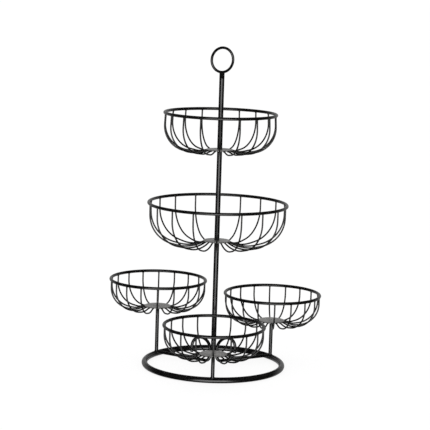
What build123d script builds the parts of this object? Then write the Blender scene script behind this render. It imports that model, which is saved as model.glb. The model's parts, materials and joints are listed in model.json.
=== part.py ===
from build123d import *
import os
from math import cos, radians, sin

# Wire produce stand, in millimetres, +Z up.
# Origin: centre of the base ring, on the plane the ring rests on.
# Azimuths are measured from +X towards +Y; the front of the stand faces -Y (270 degrees).

# ---- driving dimensions -------------------------------------------------------------
overall_height = 610.0

base_rod_d = 11.0
base_radius = 131.0

pole_d = 9.7
pole_foot_z = 17.0

leg_rod_d = 6.0
leg_bar_z = 8.8
leg_bend_radius = 10.0
leg_arch_span = 41.0
leg_arch_top_z = 52.5
leg_tip_z = 20.5
leg_tip_fillet = 1.0

post_d = 7.0

rim_rod_d = 5.8
rib_wire_d = 3.0
ribs_per_basket = 18

plate_d = 51.0
plate_thickness = 2.0
plate_edge_fillet = 0.5

stud_d = 6.0
stud_grip = 14.0
swivel_clearance = 0.08

screw_d = 4.0
screw_length = 14.0
screw_head_d = 7.2
screw_head_drop = 0.1
countersink_d = 7.8
countersink_angle = 90.0
hex_sides = 6
hex_across_flats = 2.5
hex_socket_depth = 1.2

handle_rod_d = 5.0
handle_outer_d = 50.4
handle_turn = 29.0
neck_length = 11.0
neck_saddle = 1.0
neck_shoulder = 1.0
neck_across_flats = 6.6
spigot_length = 13.0

# ---- basket shapes ------------------------------------------------------------------
# Rim radius and depth of the plate's top face below the rim centre, then the bend line
# of one rib in its own upright plane, as radius from the basket's axis and depth below
# the rim centre: top of the rib, wall corner, toe corner and inner end, with the two
# bend radii.
small_basket = {
    "rim_radius": 91.9,
    "plate_depth": 51.0,
    "rib_line": [(91.4, 0.0), (91.6, 51.8), (40.3, 58.9), (24.0, 52.5)],
    "rib_bends": [42.4, 31.0],
}
middle_basket = {
    "rim_radius": 130.5,
    "plate_depth": 69.2,
    "rib_line": [(128.8, 0.0), (128.4, 65.8), (49.4, 84.9), (24.0, 71.5)],
    "rib_bends": [58.0, 70.0],
}
top_basket = {
    "rim_radius": 104.6,
    "plate_depth": 67.0,
    "rib_line": [(104.2, 0.0), (107.5, 64.3), (43.5, 73.7), (24.0, 68.6)],
    "rib_bends": [48.0, 38.0],
}

# Name, shape, rim height, azimuth of its post (None stands on the pole) and azimuth of
# its first rib.
baskets = [
    ("top_basket", top_basket, 484.5, None, 90.0),
    ("middle_basket", middle_basket, 313.8, None, 90.0),
    ("left_basket", small_basket, 152.0, 148.0, 91.5),
    ("right_basket", small_basket, 130.0, 32.0, 91.5),
    ("front_basket", small_basket, 107.0, 270.0, 90.0),
]

# ---- worked out from the driving dimensions -----------------------------------------
leg_inner_radius = (pole_d + leg_rod_d) / 2
leg_outer_radius = leg_inner_radius + leg_arch_span
leg_end_radius = base_radius - post_d / 2
leg_spring_z = leg_arch_top_z - leg_arch_span / 2
handle_ring_radius = (handle_outer_d - handle_rod_d) / 2
handle_centre_z = overall_height - handle_outer_d / 2
neck_top_z = overall_height - handle_outer_d + neck_saddle
neck_foot_z = neck_top_z - neck_length


def direction(azimuth):
    return Vector(cos(radians(azimuth)), sin(radians(azimuth)), 0)


def on_circle(radius, azimuth, z):
    return direction(azimuth) * radius + Vector(0, 0, z)


def upright_plane(azimuth, centre_z=0.0):
    # Vertical plane through the stand's axis: local x points outwards, local y up.
    return Plane(origin=(0, 0, centre_z), x_dir=direction(azimuth), z_dir=direction(azimuth - 90))


def rod_end_plane(path):
    return Plane(origin=path @ 0, z_dir=path % 0)


def round_ring(ring_radius, rod_d, z=0.0):
    with BuildPart() as ring:
        with BuildSketch(Plane.XZ):
            with Locations((ring_radius, z)):
                Circle(rod_d / 2)
        revolve(axis=Axis.Z)
    return ring.part


def write_node(part, name):
    part.label = name
    export_step(part, "parts/" + name + ".step")


# ---- stand --------------------------------------------------------------------------
def make_leg(azimuth, base_ring):
    # One bent rod: in from the base ring, up the side of the pole, over and down.
    plane = upright_plane(azimuth)
    arch_middle = (leg_inner_radius + leg_outer_radius) / 2
    with BuildPart() as leg:
        with BuildLine(plane) as path:
            bend_start = (leg_inner_radius + leg_bend_radius, leg_bar_z)
            bar = Line((leg_end_radius, leg_bar_z), bend_start)
            bend = JernArc(bar @ 1, bar % 1, leg_bend_radius, -90)
            riser = Line(bend @ 1, (leg_inner_radius, leg_spring_z))
            arch = ThreePointArc(
                riser @ 1,
                (arch_middle, leg_arch_top_z),
                (leg_outer_radius, leg_spring_z),
            )
            Line(arch @ 1, (leg_outer_radius, leg_tip_z))
        with BuildSketch(rod_end_plane(path.line)):
            Circle(leg_rod_d / 2)
        sweep(path=path.line)
        tip_face = leg.faces().sort_by_distance(on_circle(leg_outer_radius, azimuth, leg_tip_z))[0]
        fillet(tip_face.edges(), leg_tip_fillet)
        add(base_ring, mode=Mode.SUBTRACT)
    return leg.part


def make_post(azimuth, top_z, base_ring):
    with BuildPart() as post:
        with BuildSketch(Plane(origin=on_circle(base_radius, azimuth, base_rod_d / 2))):
            Circle(post_d / 2)
        extrude(amount=top_z - base_rod_d / 2)
        with Locations(on_circle(base_radius, azimuth, top_z)):
            Hole(screw_d / 2, depth=screw_length - plate_thickness + screw_head_drop)
        add(base_ring, mode=Mode.SUBTRACT)
    return post.part


def make_pole_section(foot_z, top_z, top_hole_d, foot_hole_d=None):
    # A round bar tapped at its top, and at its foot too unless it stands on the legs.
    with BuildPart() as section:
        with BuildSketch(Plane.XY.offset(foot_z)):
            Circle(pole_d / 2)
        extrude(amount=top_z - foot_z)
        with BuildSketch(Plane.XY.offset(top_z)):
            Circle(top_hole_d / 2)
        extrude(amount=-stud_grip, mode=Mode.SUBTRACT)
        if foot_hole_d:
            with BuildSketch(Plane.XY.offset(foot_z)):
                Circle(foot_hole_d / 2)
            extrude(amount=stud_grip, mode=Mode.SUBTRACT)
    return section.part


def make_stud(plate_bottom_z):
    with BuildPart() as stud:
        with BuildSketch(Plane.XY.offset(plate_bottom_z - stud_grip)):
            Circle(stud_d / 2)
        extrude(amount=plate_thickness + 2 * stud_grip)
    return stud.part


# ---- handle -------------------------------------------------------------------------
def make_handle_ring():
    ring_plane = upright_plane(handle_turn, handle_centre_z)
    section_plane = Plane(origin=ring_plane.origin, x_dir=ring_plane.x_dir)
    with BuildPart() as ring:
        with BuildSketch(section_plane):
            with Locations((handle_ring_radius, 0)):
                Circle(handle_rod_d / 2)
        revolve(axis=Axis(ring_plane.origin, ring_plane.z_dir))
    return ring.part


def make_handle_neck(handle_ring):
    # The collar under the ring: a round shoulder, two spanner flats parallel to the ring,
    # and the threaded spigot that screws into the pole.
    flats_plane = Plane(
        origin=(0, 0, neck_foot_z + neck_shoulder),
        x_dir=direction(handle_turn),
    )
    with BuildPart() as neck:
        with BuildSketch(Plane.XY.offset(neck_foot_z)):
            Circle(pole_d / 2)
        extrude(amount=neck_shoulder)
        with BuildSketch(flats_plane):
            Circle(pole_d / 2)
            Rectangle(pole_d, neck_across_flats, mode=Mode.INTERSECT)
        extrude(amount=neck_length - neck_shoulder)
        with BuildSketch(Plane.XY.offset(neck_foot_z)):
            Circle(stud_d / 2)
        extrude(amount=-spigot_length)
        add(handle_ring, mode=Mode.SUBTRACT)
    return neck.part


# ---- baskets ------------------------------------------------------------------------
def make_plate(shape, on_pole):
    # Round base plate in the basket's own frame, drilled for the pole's stud or
    # countersunk for the post's screw.
    with BuildPart() as plate:
        with BuildSketch(Plane.XY.offset(-shape["plate_depth"])):
            Circle(plate_d / 2)
        extrude(amount=-plate_thickness)
        fillet(plate.edges(), plate_edge_fillet)
        with Locations((0, 0, -shape["plate_depth"])):
            if on_pole:
                Hole(stud_d / 2 + swivel_clearance)
            else:
                CounterSinkHole(
                    screw_d / 2 + swivel_clearance,
                    countersink_d / 2,
                    counter_sink_angle=countersink_angle,
                )
    return plate.part


def make_rib(shape, rim, plate):
    # One rib in the XZ plane of the basket's own frame, coped to the rim and the plate.
    points = [(radius, -depth) for radius, depth in shape["rib_line"]]
    with BuildPart() as rib:
        with BuildLine(Plane.XZ) as path:
            FilletPolyline(*points, radius=shape["rib_bends"])
        with BuildSketch(rod_end_plane(path.line)):
            Circle(rib_wire_d / 2)
        sweep(path=path.line)
        add(rim, mode=Mode.SUBTRACT)
        add(plate, mode=Mode.SUBTRACT)
    return rib.part


def make_screw(post_azimuth, plate_top_z):
    # Countersunk socket screw, its head just under the plate's top face.
    head_plane = Plane(origin=on_circle(base_radius, post_azimuth, plate_top_z - screw_head_drop))
    head_height = (screw_head_d - screw_d) / 2
    with BuildPart() as screw:
        with BuildSketch(head_plane):
            Circle(screw_head_d / 2)
        extrude(amount=-head_height, taper=countersink_angle / 2)
        with BuildSketch(head_plane):
            Circle(screw_d / 2)
        extrude(amount=-screw_length)
        with BuildSketch(head_plane):
            RegularPolygon(hex_across_flats / 2, hex_sides, major_radius=False)
        extrude(amount=-hex_socket_depth, mode=Mode.SUBTRACT)
    return screw.part


def place(piece, position):
    with BuildPart() as placed:
        with Locations(position):
            add(piece)
    return placed.part


def place_ribs(rib, position, first_azimuth):
    with BuildPart() as placed:
        with Locations(position):
            with PolarLocations(0, ribs_per_basket, start_angle=first_azimuth):
                add(rib)
    return placed.part


def write_basket(name, shape, rim_z, post_azimuth, first_rib_azimuth):
    on_pole = post_azimuth is None
    position = Vector(0, 0, rim_z) if on_pole else on_circle(base_radius, post_azimuth, rim_z)
    rim = round_ring(shape["rim_radius"], rim_rod_d)
    plate = make_plate(shape, on_pole)
    rib = make_rib(shape, rim, plate)
    write_node(place(rim, position), name + "_rim")
    write_node(place_ribs(rib, position, first_rib_azimuth), name + "_ribs")
    write_node(place(plate, position), name + "_plate")


# ---- assembly -----------------------------------------------------------------------
os.makedirs("parts", exist_ok=True)

base_ring = round_ring(base_radius, base_rod_d, base_rod_d / 2)
write_node(base_ring, "base_ring")

pole_joints = []
for name, shape, rim_z, post_azimuth, first_rib_azimuth in baskets:
    write_basket(name, shape, rim_z, post_azimuth, first_rib_azimuth)
    plate_top_z = rim_z - shape["plate_depth"]
    if post_azimuth is None:
        pole_joints.append(plate_top_z - plate_thickness)
        continue
    side = name.replace("_basket", "")
    write_node(make_leg(post_azimuth, base_ring), "leg_" + side)
    write_node(make_post(post_azimuth, plate_top_z - plate_thickness, base_ring), "post_" + side)
    write_node(make_screw(post_azimuth, plate_top_z), "screw_" + side)

upper_joint_z, lower_joint_z = pole_joints
spigot_hole_d = stud_d + 2 * swivel_clearance
write_node(make_pole_section(pole_foot_z, lower_joint_z, stud_d), "pole_lower")
write_node(make_stud(lower_joint_z), "pole_stud_lower")
write_node(
    make_pole_section(lower_joint_z + plate_thickness, upper_joint_z, stud_d, stud_d),
    "pole_middle",
)
write_node(make_stud(upper_joint_z), "pole_stud_upper")
write_node(
    make_pole_section(upper_joint_z + plate_thickness, neck_foot_z, spigot_hole_d, stud_d),
    "pole_upper",
)

handle_ring = make_handle_ring()
write_node(handle_ring, "handle_ring")
write_node(make_handle_neck(handle_ring), "handle_neck")
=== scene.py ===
import json
from math import atan2, cos, pi, radians, sin, sqrt

import bmesh
import bpy
from mathutils import Matrix, Vector, noise


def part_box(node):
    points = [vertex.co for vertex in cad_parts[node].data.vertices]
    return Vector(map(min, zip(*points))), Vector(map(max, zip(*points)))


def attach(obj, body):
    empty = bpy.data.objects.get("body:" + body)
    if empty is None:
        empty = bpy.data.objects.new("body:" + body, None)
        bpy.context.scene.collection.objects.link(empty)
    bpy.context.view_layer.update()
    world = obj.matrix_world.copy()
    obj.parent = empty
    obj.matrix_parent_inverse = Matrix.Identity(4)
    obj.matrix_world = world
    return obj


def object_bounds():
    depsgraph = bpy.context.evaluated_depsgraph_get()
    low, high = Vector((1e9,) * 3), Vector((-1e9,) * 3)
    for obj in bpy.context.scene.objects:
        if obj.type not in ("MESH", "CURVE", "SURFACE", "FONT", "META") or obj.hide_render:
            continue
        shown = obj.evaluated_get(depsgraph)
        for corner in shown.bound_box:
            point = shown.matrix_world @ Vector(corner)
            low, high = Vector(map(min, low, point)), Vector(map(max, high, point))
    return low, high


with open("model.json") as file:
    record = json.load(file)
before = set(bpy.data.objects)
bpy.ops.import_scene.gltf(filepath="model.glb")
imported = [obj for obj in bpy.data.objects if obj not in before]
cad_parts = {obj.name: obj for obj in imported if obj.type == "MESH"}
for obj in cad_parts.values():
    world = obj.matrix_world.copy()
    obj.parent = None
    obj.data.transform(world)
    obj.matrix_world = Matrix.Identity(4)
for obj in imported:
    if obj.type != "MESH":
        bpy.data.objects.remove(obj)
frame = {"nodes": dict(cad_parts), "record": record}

cad_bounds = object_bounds()
MM = 0.001

BASKETS = ["top_basket", "middle_basket", "left_basket", "right_basket", "front_basket"]
SIDES = ["left", "right", "front"]


# ---- node helpers -------------------------------------------------------------------
def add_node(tree, kind, **inputs):
    node = tree.nodes.new(kind)
    for name, value in inputs.items():
        node.inputs[name.replace("_", " ")].default_value = value
    return node


def noise_at(tree, coords, scale, detail):
    node = add_node(tree, "ShaderNodeTexNoise", Scale=scale, Detail=detail)
    tree.links.new(coords, node.inputs["Vector"])
    return node.outputs["Fac"]


def map_range(tree, value, low, high, to_low, to_high):
    node = add_node(tree, "ShaderNodeMapRange")
    node.interpolation_type = "SMOOTHSTEP"
    for name, number in (("From Min", low), ("From Max", high), ("To Min", to_low), ("To Max", to_high)):
        node.inputs[name].default_value = number
    tree.links.new(value, node.inputs["Value"])
    return node.outputs["Result"]


def mix_colour(tree, factor, first, second):
    node = tree.nodes.new("ShaderNodeMix")
    node.data_type = "RGBA"
    tree.links.new(factor, node.inputs["Factor"])
    for socket, colour in ((node.inputs[6], first), (node.inputs[7], second)):
        if isinstance(colour, tuple):
            socket.default_value = (*colour, 1)
        else:
            tree.links.new(colour, socket)
    return node.outputs[2]


def paint(name, dark, light, speck, roughness, coat, bump, grain=1900):
    """Black paint on steel: cloudy colour, fine specks, mottled gloss and orange peel."""
    material = bpy.data.materials.new(name)
    material.use_nodes = True
    tree = material.node_tree
    shader = tree.nodes["Principled BSDF"]
    coords = tree.nodes.new("ShaderNodeTexCoord").outputs["Object"]

    clouds = noise_at(tree, coords, 35, 4)
    body = mix_colour(tree, map_range(tree, clouds, 0.35, 0.68, 0, 1), dark, light)
    specks = map_range(tree, noise_at(tree, coords, grain, 2), 0.6, 0.74, 0, 1)
    colour = mix_colour(tree, specks, body, speck)
    tree.links.new(colour, shader.inputs["Base Color"])

    mottling = noise_at(tree, coords, 260, 3)
    tree.links.new(
        map_range(tree, mottling, 0.3, 0.7, roughness - 0.05, roughness + 0.07),
        shader.inputs["Roughness"],
    )
    shader.inputs["Coat Weight"].default_value = coat
    shader.inputs["Coat Roughness"].default_value = 0.16

    peel = noise_at(tree, coords, 700, 2)
    bumps = add_node(tree, "ShaderNodeBump", Strength=bump, Distance=0.00008)
    tree.links.new(peel, bumps.inputs["Height"])
    tree.links.new(bumps.outputs["Normal"], shader.inputs["Normal"])
    return material


def turned_steel(name):
    """Plated steel of the screws and studs, with the fine rings that turning leaves."""
    material = bpy.data.materials.new(name)
    material.use_nodes = True
    tree = material.node_tree
    shader = tree.nodes["Principled BSDF"]
    shader.inputs["Metallic"].default_value = 1
    coords = tree.nodes.new("ShaderNodeTexCoord").outputs["Object"]
    clouds = map_range(tree, noise_at(tree, coords, 220, 4), 0.35, 0.7, 0, 1)
    steel = mix_colour(tree, clouds, (0.42, 0.42, 0.4), (0.56, 0.56, 0.55))
    tree.links.new(steel, shader.inputs["Base Color"])
    rings = add_node(tree, "ShaderNodeTexWave", Scale=900, Distortion=0.6, Detail=1)
    rings.bands_direction = "Z"
    tree.links.new(coords, rings.inputs["Vector"])
    tree.links.new(map_range(tree, rings.outputs["Fac"], 0, 1, 0.28, 0.42), shader.inputs["Roughness"])
    bumps = add_node(tree, "ShaderNodeBump", Strength=0.25, Distance=0.00004)
    tree.links.new(rings.outputs["Fac"], bumps.inputs["Height"])
    tree.links.new(bumps.outputs["Normal"], shader.inputs["Normal"])
    return material


# ---- materials ----------------------------------------------------------------------
black_frame = paint(
    "black_frame_paint", (0.003, 0.003, 0.0032), (0.006, 0.0058, 0.0056), (0.02, 0.02, 0.02),
    roughness=0.22, coat=0.2, bump=0.16,
)
black_rim = paint(
    "black_rim_paint", (0.0035, 0.0034, 0.0033), (0.0065, 0.0062, 0.006), (0.02, 0.02, 0.02),
    roughness=0.24, coat=0.15, bump=0.2,
)
black_wire = paint(
    "black_wire_paint", (0.0035, 0.0034, 0.0032), (0.007, 0.0068, 0.0062), (0.02, 0.02, 0.018),
    roughness=0.26, coat=0.0, bump=0.2,
)
plate_top = paint(
    "speckled_plate_paint", (0.1, 0.098, 0.095), (0.16, 0.157, 0.152), (0.4, 0.39, 0.38),
    roughness=0.34, coat=0.2, bump=0.3, grain=620,
)
black_handle = paint(
    "black_handle_paint", (0.0035, 0.0035, 0.0035), (0.0065, 0.0062, 0.006), (0.02, 0.02, 0.02),
    roughness=0.22, coat=0.2, bump=0.16,
)
fastener_steel = turned_steel("turned_fastener_steel")

MATERIAL_OF_SLOT = {
    "frame_paint": black_frame,
    "rim_paint": black_rim,
    "wire_paint": black_wire,
    "plate_paint": plate_top,
    "handle_paint": black_handle,
    "fastener_steel": fastener_steel,
}
for subpart in frame["record"]["subparts"]:
    for material_slot in frame["nodes"][subpart["node"]].material_slots:
        material_slot.material = MATERIAL_OF_SLOT[subpart["material_slot"]]


# ---- weld beads ---------------------------------------------------------------------
def middle(node):
    low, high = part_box(node)
    return (low + high) / 2


def bead_radius(radius, distance, phase, ripple_pitch=0.9 * MM):
    """A bead's radius along its run: overlapping weld ripples on a slightly uneven bead."""
    ripple = abs(sin(distance / ripple_pitch * pi / 2 + phase))
    wander = noise.noise(Vector((distance * 400, phase, 0)))
    return radius * (0.9 + 0.14 * ripple + 0.1 * wander)


def add_bead(bm, path, radius, phase, sides=10, end_size=0.55, tip_reach=0.45):
    """A lumpy weld bead along an open path, closed by a domed tip at each end."""
    rings = []
    distance = 0
    last = len(path) - 1
    for i, point in enumerate(path):
        ahead = path[min(i + 1, last)]
        behind = path[max(i - 1, 0)]
        along = (ahead - behind).normalized()
        across = along.orthogonal().normalized()
        if rings:
            distance += (point - behind).length
            across = (rings[-1][0].co - path[i - 1]).normalized()
            across = (across - along * across.dot(along)).normalized()
        up = along.cross(across)
        size = bead_radius(radius, distance, phase) * (end_size if i in (0, last) else 1)
        ring = []
        for k in range(sides):
            angle = 2 * pi * k / sides
            ring.append(bm.verts.new(point + (across * cos(angle) + up * sin(angle)) * size))
        rings.append(ring)
    for first, second in zip(rings, rings[1:]):
        for k in range(sides):
            n = (k + 1) % sides
            bm.faces.new((first[k], first[n], second[n], second[k]))
    for ring, inner, flip in ((rings[0], path[1], True), (rings[-1], path[-2], False)):
        centre = sum((v.co for v in ring), Vector()) / sides
        tip = bm.verts.new(centre + (centre - inner).normalized() * radius * tip_reach)
        for k in range(sides):
            n = (k + 1) % sides
            corners = (ring[n], ring[k], tip) if flip else (ring[k], ring[n], tip)
            bm.faces.new(corners)


def finish_piece(bm, name, body, slot_name):
    bmesh.ops.recalc_face_normals(bm, faces=bm.faces)
    mesh = bpy.data.meshes.new(name)
    bm.to_mesh(mesh)
    bm.free()
    piece = bpy.data.objects.new(name, mesh)
    bpy.context.scene.collection.objects.link(piece)
    for polygon in mesh.polygons:
        polygon.use_smooth = True
    mesh.materials.append(MATERIAL_OF_SLOT[slot_name])
    smooth = piece.modifiers.new("smooth", "SUBSURF")
    smooth.levels = 1
    smooth.render_levels = 1
    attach(piece, body)
    return piece


def steps(low, high, count):
    return [low + (high - low) * i / (count - 1) for i in range(count)]


base_low, base_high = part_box("base_ring")
base_tube = (base_high.z - base_low.z) / 2
base_radius = base_high.x - base_tube
pole_low, pole_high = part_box("pole_lower")
pole_radius = (pole_high.x - pole_low.x) / 2
leg_rod = (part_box("leg_front")[1].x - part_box("leg_front")[0].x) / 2
leg_bar_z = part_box("leg_front")[0].z + leg_rod


def side_directions(side):
    centre = middle("post_" + side)
    outward = Vector((centre.x, centre.y, 0)).normalized()
    return outward, Vector((-outward.y, outward.x, 0))


def make_post_bead(side):
    """The bead around a post's foot, over the round top of the base ring."""
    outward, sideways = side_directions(side)
    low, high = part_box("post_" + side)
    radius = (high.x - low.x) / 2
    path = []
    for angle in steps(0, 2.06 * pi, 56):
        across = radius * cos(angle)
        top = base_tube + sqrt(base_tube**2 - across**2)
        spot = outward * (base_radius + across) + sideways * radius * sin(angle)
        path.append(spot + Vector((0, 0, top)))
    bm = bmesh.new()
    add_bead(bm, path, 0.9 * MM, phase=len(side))
    finish_piece(bm, "weld_post_" + side, "stand", "frame_paint")


def make_leg_bead(side):
    """The bead under and beside a leg's bar, where it meets the base ring's inner face."""
    outward, sideways = side_directions(side)
    path = []
    for angle in steps(radians(-196), radians(16), 30):
        height = leg_bar_z + leg_rod * sin(angle)
        reach = base_radius - sqrt(base_tube**2 - (height - base_tube) ** 2)
        path.append(outward * reach + sideways * leg_rod * cos(angle) + Vector((0, 0, height)))
    bm = bmesh.new()
    add_bead(bm, path, 0.8 * MM, phase=2 + len(side))
    finish_piece(bm, "weld_leg_" + side, "stand", "frame_paint")


def make_pole_bead(side, bead=0.8 * MM, length=12 * MM, foot_gap=2 * MM):
    """Two upright beads in the grooves between the pole and a leg's riser."""
    outward, sideways = side_directions(side)
    apart = pole_radius + leg_rod
    from_pole = pole_radius + bead
    from_riser = leg_rod + bead
    reach = (apart**2 + from_pole**2 - from_riser**2) / (2 * apart)
    offset = sqrt(from_pole**2 - reach**2)
    bm = bmesh.new()
    for hand in (-1, 1):
        path = []
        for height in steps(pole_low.z + foot_gap, pole_low.z + foot_gap + length, 26):
            spot = outward * reach + sideways * offset * hand
            path.append(spot + Vector((0, 0, height)))
        add_bead(bm, path, bead * 1.35, phase=hand + len(side))
    finish_piece(bm, "weld_pole_" + side, "stand", "frame_paint")


def make_handle_bead(rod=2.5 * MM, reach=3.4 * MM):
    """Two beads along the carrying ring where it sits in its neck."""
    low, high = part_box("handle_ring")
    centre = (low + high) / 2
    ring_radius = (high.z - low.z) / 2 - rod
    along = Vector(((high.x - low.x) / 2 - rod, (high.y - low.y) / 2 - rod, 0)).normalized()
    sideways = Vector((-along.y, along.x, 0))
    bm = bmesh.new()
    for hand in (-1, 1):
        path = []
        for distance in steps(-reach, reach, 18):
            height = centre.z - sqrt(ring_radius**2 - distance**2) - 0.55 * rod
            spot = along * distance + sideways * hand * 0.9 * rod
            path.append(Vector((centre.x, centre.y, height)) + spot)
        add_bead(bm, path, 0.65 * MM, phase=3 + hand)
    finish_piece(bm, "weld_handle", "handle", "handle_paint")


# ---- spot welds of the wires --------------------------------------------------------
# The rib wire's radius, the azimuth of a basket's first rib (90 where none is given) and how
# far inside the rim's centre line the ribs meet it.
RIBS = 18
WIRE = 1.5 * MM
FIRST_RIB = {"left_basket": 91.5, "right_basket": 91.5}
RIB_INSET = {"top_basket": 0.4 * MM, "middle_basket": 1.7 * MM}


def rib_directions(basket):
    first = FIRST_RIB.get(basket, 90)
    for k in range(RIBS):
        angle = radians(first + k * 360 / RIBS)
        yield Vector((cos(angle), sin(angle), 0))


def add_collar(bm, foot, profile, sides=12):
    """A closed turned shape on an upright axis; profile is (height, radius) from the bottom."""
    rings = []
    for height, radius in profile:
        ring = []
        for k in range(sides):
            angle = 2 * pi * k / sides
            wobble = 1 + 0.08 * noise.noise((foot + Vector((k, height / MM, 0))) * 7)
            offset = Vector((cos(angle), sin(angle), 0)) * radius * wobble
            ring.append(bm.verts.new(foot + offset + Vector((0, 0, height))))
        rings.append(ring)
    for first, second in zip(rings, rings[1:]):
        for k in range(sides):
            n = (k + 1) % sides
            bm.faces.new((first[k], first[n], second[n], second[k]))
    bm.faces.new(reversed(rings[0]))
    bm.faces.new(rings[-1])


def make_rim_welds(basket):
    """A small fillet on each rib where it runs up into the rim."""
    low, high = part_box(basket + "_rim")
    centre = (low + high) / 2
    rod = (high.z - low.z) / 2
    inset = RIB_INSET.get(basket, 0.5 * MM)
    rib_radius = (high.x - low.x) / 2 - rod - inset
    contact = -sqrt(rod**2 - inset**2)
    profile = [
        (contact - 1.5 * MM, 0.8 * WIRE),
        (contact - 1.4 * MM, WIRE * 1.02),
        (contact - 0.7 * MM, WIRE * 1.1),
        (contact - 0.1 * MM, WIRE * 1.34),
        (contact + 0.6 * MM, WIRE * 1.6),
        (contact + 0.9 * MM, WIRE * 1.2),
    ]
    bm = bmesh.new()
    for outward in rib_directions(basket):
        add_collar(bm, centre + outward * rib_radius, profile)
    finish_piece(bm, basket + "_rim_welds", basket, "wire_paint")


def make_plate_welds(basket, reach=24 * MM, drop=0.5 * MM, size=(1.9, 2.0, 1.25)):
    """A flattened weld nugget over the end of each rib under the plate."""
    low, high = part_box(basket + "_plate")
    centre = (low + high) / 2
    bm = bmesh.new()
    for outward in rib_directions(basket):
        spot = centre + outward * reach
        spot.z = low.z - drop
        turn = Matrix.Rotation(atan2(outward.y, outward.x), 4, "Z")
        stretch = Matrix.Diagonal((*(extent * MM for extent in size), 1))
        nugget = bmesh.ops.create_icosphere(bm, subdivisions=2, radius=1)["verts"]
        for vert in nugget:
            vert.co *= 1 + 0.12 * noise.noise(vert.co * 1.7 + spot * 900)
        bmesh.ops.transform(bm, matrix=Matrix.Translation(spot) @ turn @ stretch, verts=nugget)
    finish_piece(bm, basket + "_plate_welds", basket, "wire_paint")


for side in SIDES:
    make_post_bead(side)
    make_leg_bead(side)
    make_pole_bead(side)
make_handle_bead()
for basket in BASKETS:
    make_rim_welds(basket)
    make_plate_welds(basket)


# ---- studio -------------------------------------------------------------------------
# Brightness of the mirrored window and wall, and how much of the floor shows no shadow.
WINDOW = 3.8
WALL = 0.4
SHADELESS = 0.88
FLOOR_GAP = 0.2 * MM


def multiply(tree, first, second):
    node = tree.nodes.new("ShaderNodeMath")
    node.operation = "MULTIPLY"
    for socket, value in ((node.inputs[0], first), (node.inputs[1], second)):
        if isinstance(value, float):
            socket.default_value = value
        else:
            tree.links.new(value, socket)
    return node.outputs[0]


def reflected_room(tree, ray):
    """What the glossy paint mirrors: a bright window ahead, a pale wall behind, dark sides."""
    parts = tree.nodes.new("ShaderNodeSeparateXYZ")
    tree.links.new(ray, parts.inputs[0])
    x, y, z = parts.outputs
    sideways = tree.nodes.new("ShaderNodeMath")
    sideways.operation = "ABSOLUTE"
    tree.links.new(x, sideways.inputs[0])
    height = multiply(tree, map_range(tree, z, -0.85, -0.65, 0, 1), map_range(tree, z, 0.02, 0.14, 1, 0))
    width = map_range(tree, sideways.outputs[0], 0.3, 0.55, 1, 0)
    ahead = map_range(tree, y, -0.4, -0.1, 1, 0)
    window = multiply(tree, multiply(tree, ahead, height), width)
    wall = multiply(tree, map_range(tree, y, 0.3, 0.75, 0, 1), map_range(tree, z, 0.3, 0.5, 1, 0))
    total = tree.nodes.new("ShaderNodeMath")
    total.operation = "MULTIPLY_ADD"
    tree.links.new(window, total.inputs[0])
    total.inputs[1].default_value = WINDOW
    tree.links.new(multiply(tree, wall, WALL), total.inputs[2])
    return total.outputs[0]


def floor_material():
    """Matt white paper, nearly shadowless to the eye; glossy rays meet the mirrored room."""
    material = bpy.data.materials.new("pale_floor")
    material.use_nodes = True
    tree = material.node_tree
    shader = tree.nodes["Principled BSDF"]
    coords = tree.nodes.new("ShaderNodeTexCoord").outputs["Object"]
    clouds = map_range(tree, noise_at(tree, coords, 3, 3), 0.3, 0.7, 0, 1)
    paper = mix_colour(tree, clouds, (0.86, 0.86, 0.86), (0.9, 0.9, 0.9))
    tree.links.new(paper, shader.inputs["Base Color"])
    shader.inputs["Roughness"].default_value = 0.9
    shader.inputs["Specular IOR Level"].default_value = 0
    ray = add_node(tree, "ShaderNodeVectorMath")
    ray.operation = "SCALE"
    ray.inputs["Scale"].default_value = -1
    tree.links.new(tree.nodes.new("ShaderNodeNewGeometry").outputs["Incoming"], ray.inputs[0])
    room = tree.nodes.new("ShaderNodeEmission")
    tree.links.new(reflected_room(tree, ray.outputs[0]), room.inputs["Strength"])
    path = tree.nodes.new("ShaderNodeLightPath")
    mirrored = tree.nodes.new("ShaderNodeMixShader")
    tree.links.new(path.outputs["Is Glossy Ray"], mirrored.inputs["Fac"])
    tree.links.new(shader.outputs[0], mirrored.inputs[1])
    tree.links.new(room.outputs[0], mirrored.inputs[2])
    white = add_node(tree, "ShaderNodeEmission", Strength=1)
    shown = tree.nodes.new("ShaderNodeMixShader")
    tree.links.new(multiply(tree, path.outputs["Is Camera Ray"], SHADELESS), shown.inputs["Fac"])
    tree.links.new(mirrored.outputs[0], shown.inputs[1])
    tree.links.new(white.outputs[0], shown.inputs[2])
    tree.links.new(shown.outputs[0], tree.nodes["Material Output"].inputs["Surface"])
    return material


def make_floor(half_width=60):
    bm = bmesh.new()
    bmesh.ops.create_grid(bm, x_segments=2, y_segments=2, size=half_width)
    mesh = bpy.data.meshes.new("floor")
    bm.to_mesh(mesh)
    bm.free()
    mesh.materials.append(floor_material())
    floor = bpy.data.objects.new("floor", mesh)
    floor.location.z = cad_bounds[0][2] - FLOOR_GAP
    bpy.context.scene.collection.objects.link(floor)


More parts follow.
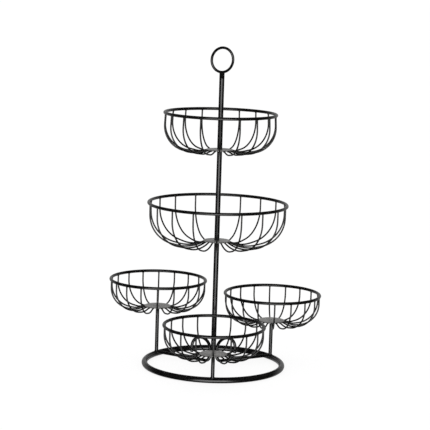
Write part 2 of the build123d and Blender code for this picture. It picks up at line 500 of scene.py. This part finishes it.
def make_world(seen, felt):
    """White to the eye, dimmer as light on the stand, and the mirrored room in its paint."""
    world = bpy.data.worlds.new("studio")
    world.use_nodes = True
    tree = world.node_tree
    tree.nodes.clear()
    output = tree.nodes.new("ShaderNodeOutputWorld")
    path = tree.nodes.new("ShaderNodeLightPath")
    ray = tree.nodes.new("ShaderNodeTexCoord").outputs["Generated"]
    room = add_node(tree, "ShaderNodeBackground", Color=(1, 1, 1, 1))
    tree.links.new(reflected_room(tree, ray), room.inputs["Strength"])
    lit = add_node(tree, "ShaderNodeBackground", Color=(1, 1, 1, 1), Strength=felt)
    shown = add_node(tree, "ShaderNodeBackground", Color=(1, 1, 1, 1), Strength=seen)
    mirrored = tree.nodes.new("ShaderNodeMixShader")
    tree.links.new(path.outputs["Is Glossy Ray"], mirrored.inputs["Fac"])
    tree.links.new(lit.outputs[0], mirrored.inputs[1])
    tree.links.new(room.outputs[0], mirrored.inputs[2])
    mix = tree.nodes.new("ShaderNodeMixShader")
    tree.links.new(path.outputs["Is Camera Ray"], mix.inputs["Fac"])
    tree.links.new(mirrored.outputs[0], mix.inputs[1])
    tree.links.new(shown.outputs[0], mix.inputs[2])
    tree.links.new(mix.outputs[0], output.inputs[0])
    bpy.context.scene.world = world


def make_sun(strength, spread):
    data = bpy.data.lights.new("sky_light", "SUN")
    data.energy = strength
    data.angle = radians(spread)
    lamp = bpy.data.objects.new("sky_light", data)
    lamp.visible_glossy = False
    bpy.context.scene.collection.objects.link(lamp)


make_floor()
make_world(seen=1.0, felt=0.25)
make_sun(strength=3.4, spread=150)


# ---- camera -------------------------------------------------------------------------
def make_camera():
    distance, height = 3.1375, 0.7698
    pitch, yaw, roll = radians(8.65), radians(-0.09), radians(1.79)
    forward = Vector((sin(yaw) * cos(pitch), cos(yaw) * cos(pitch), -sin(pitch)))
    right = forward.cross(Vector((0, 0, 1))).normalized()
    up = right.cross(forward)
    rolled_right = right * cos(roll) + up * sin(roll)
    rolled_up = up * cos(roll) - right * sin(roll)
    data = bpy.data.cameras.new("camera")
    data.lens = 140.76
    data.sensor_width = 36
    camera = bpy.data.objects.new("camera", data)
    turn = Matrix((rolled_right, rolled_up, -forward)).transposed()
    camera.matrix_world = Matrix.Translation((0, -distance, height)) @ turn.to_4x4()
    bpy.context.scene.collection.objects.link(camera)
    bpy.context.scene.camera = camera


make_camera()
bpy.context.scene.view_settings.view_transform = "Standard"
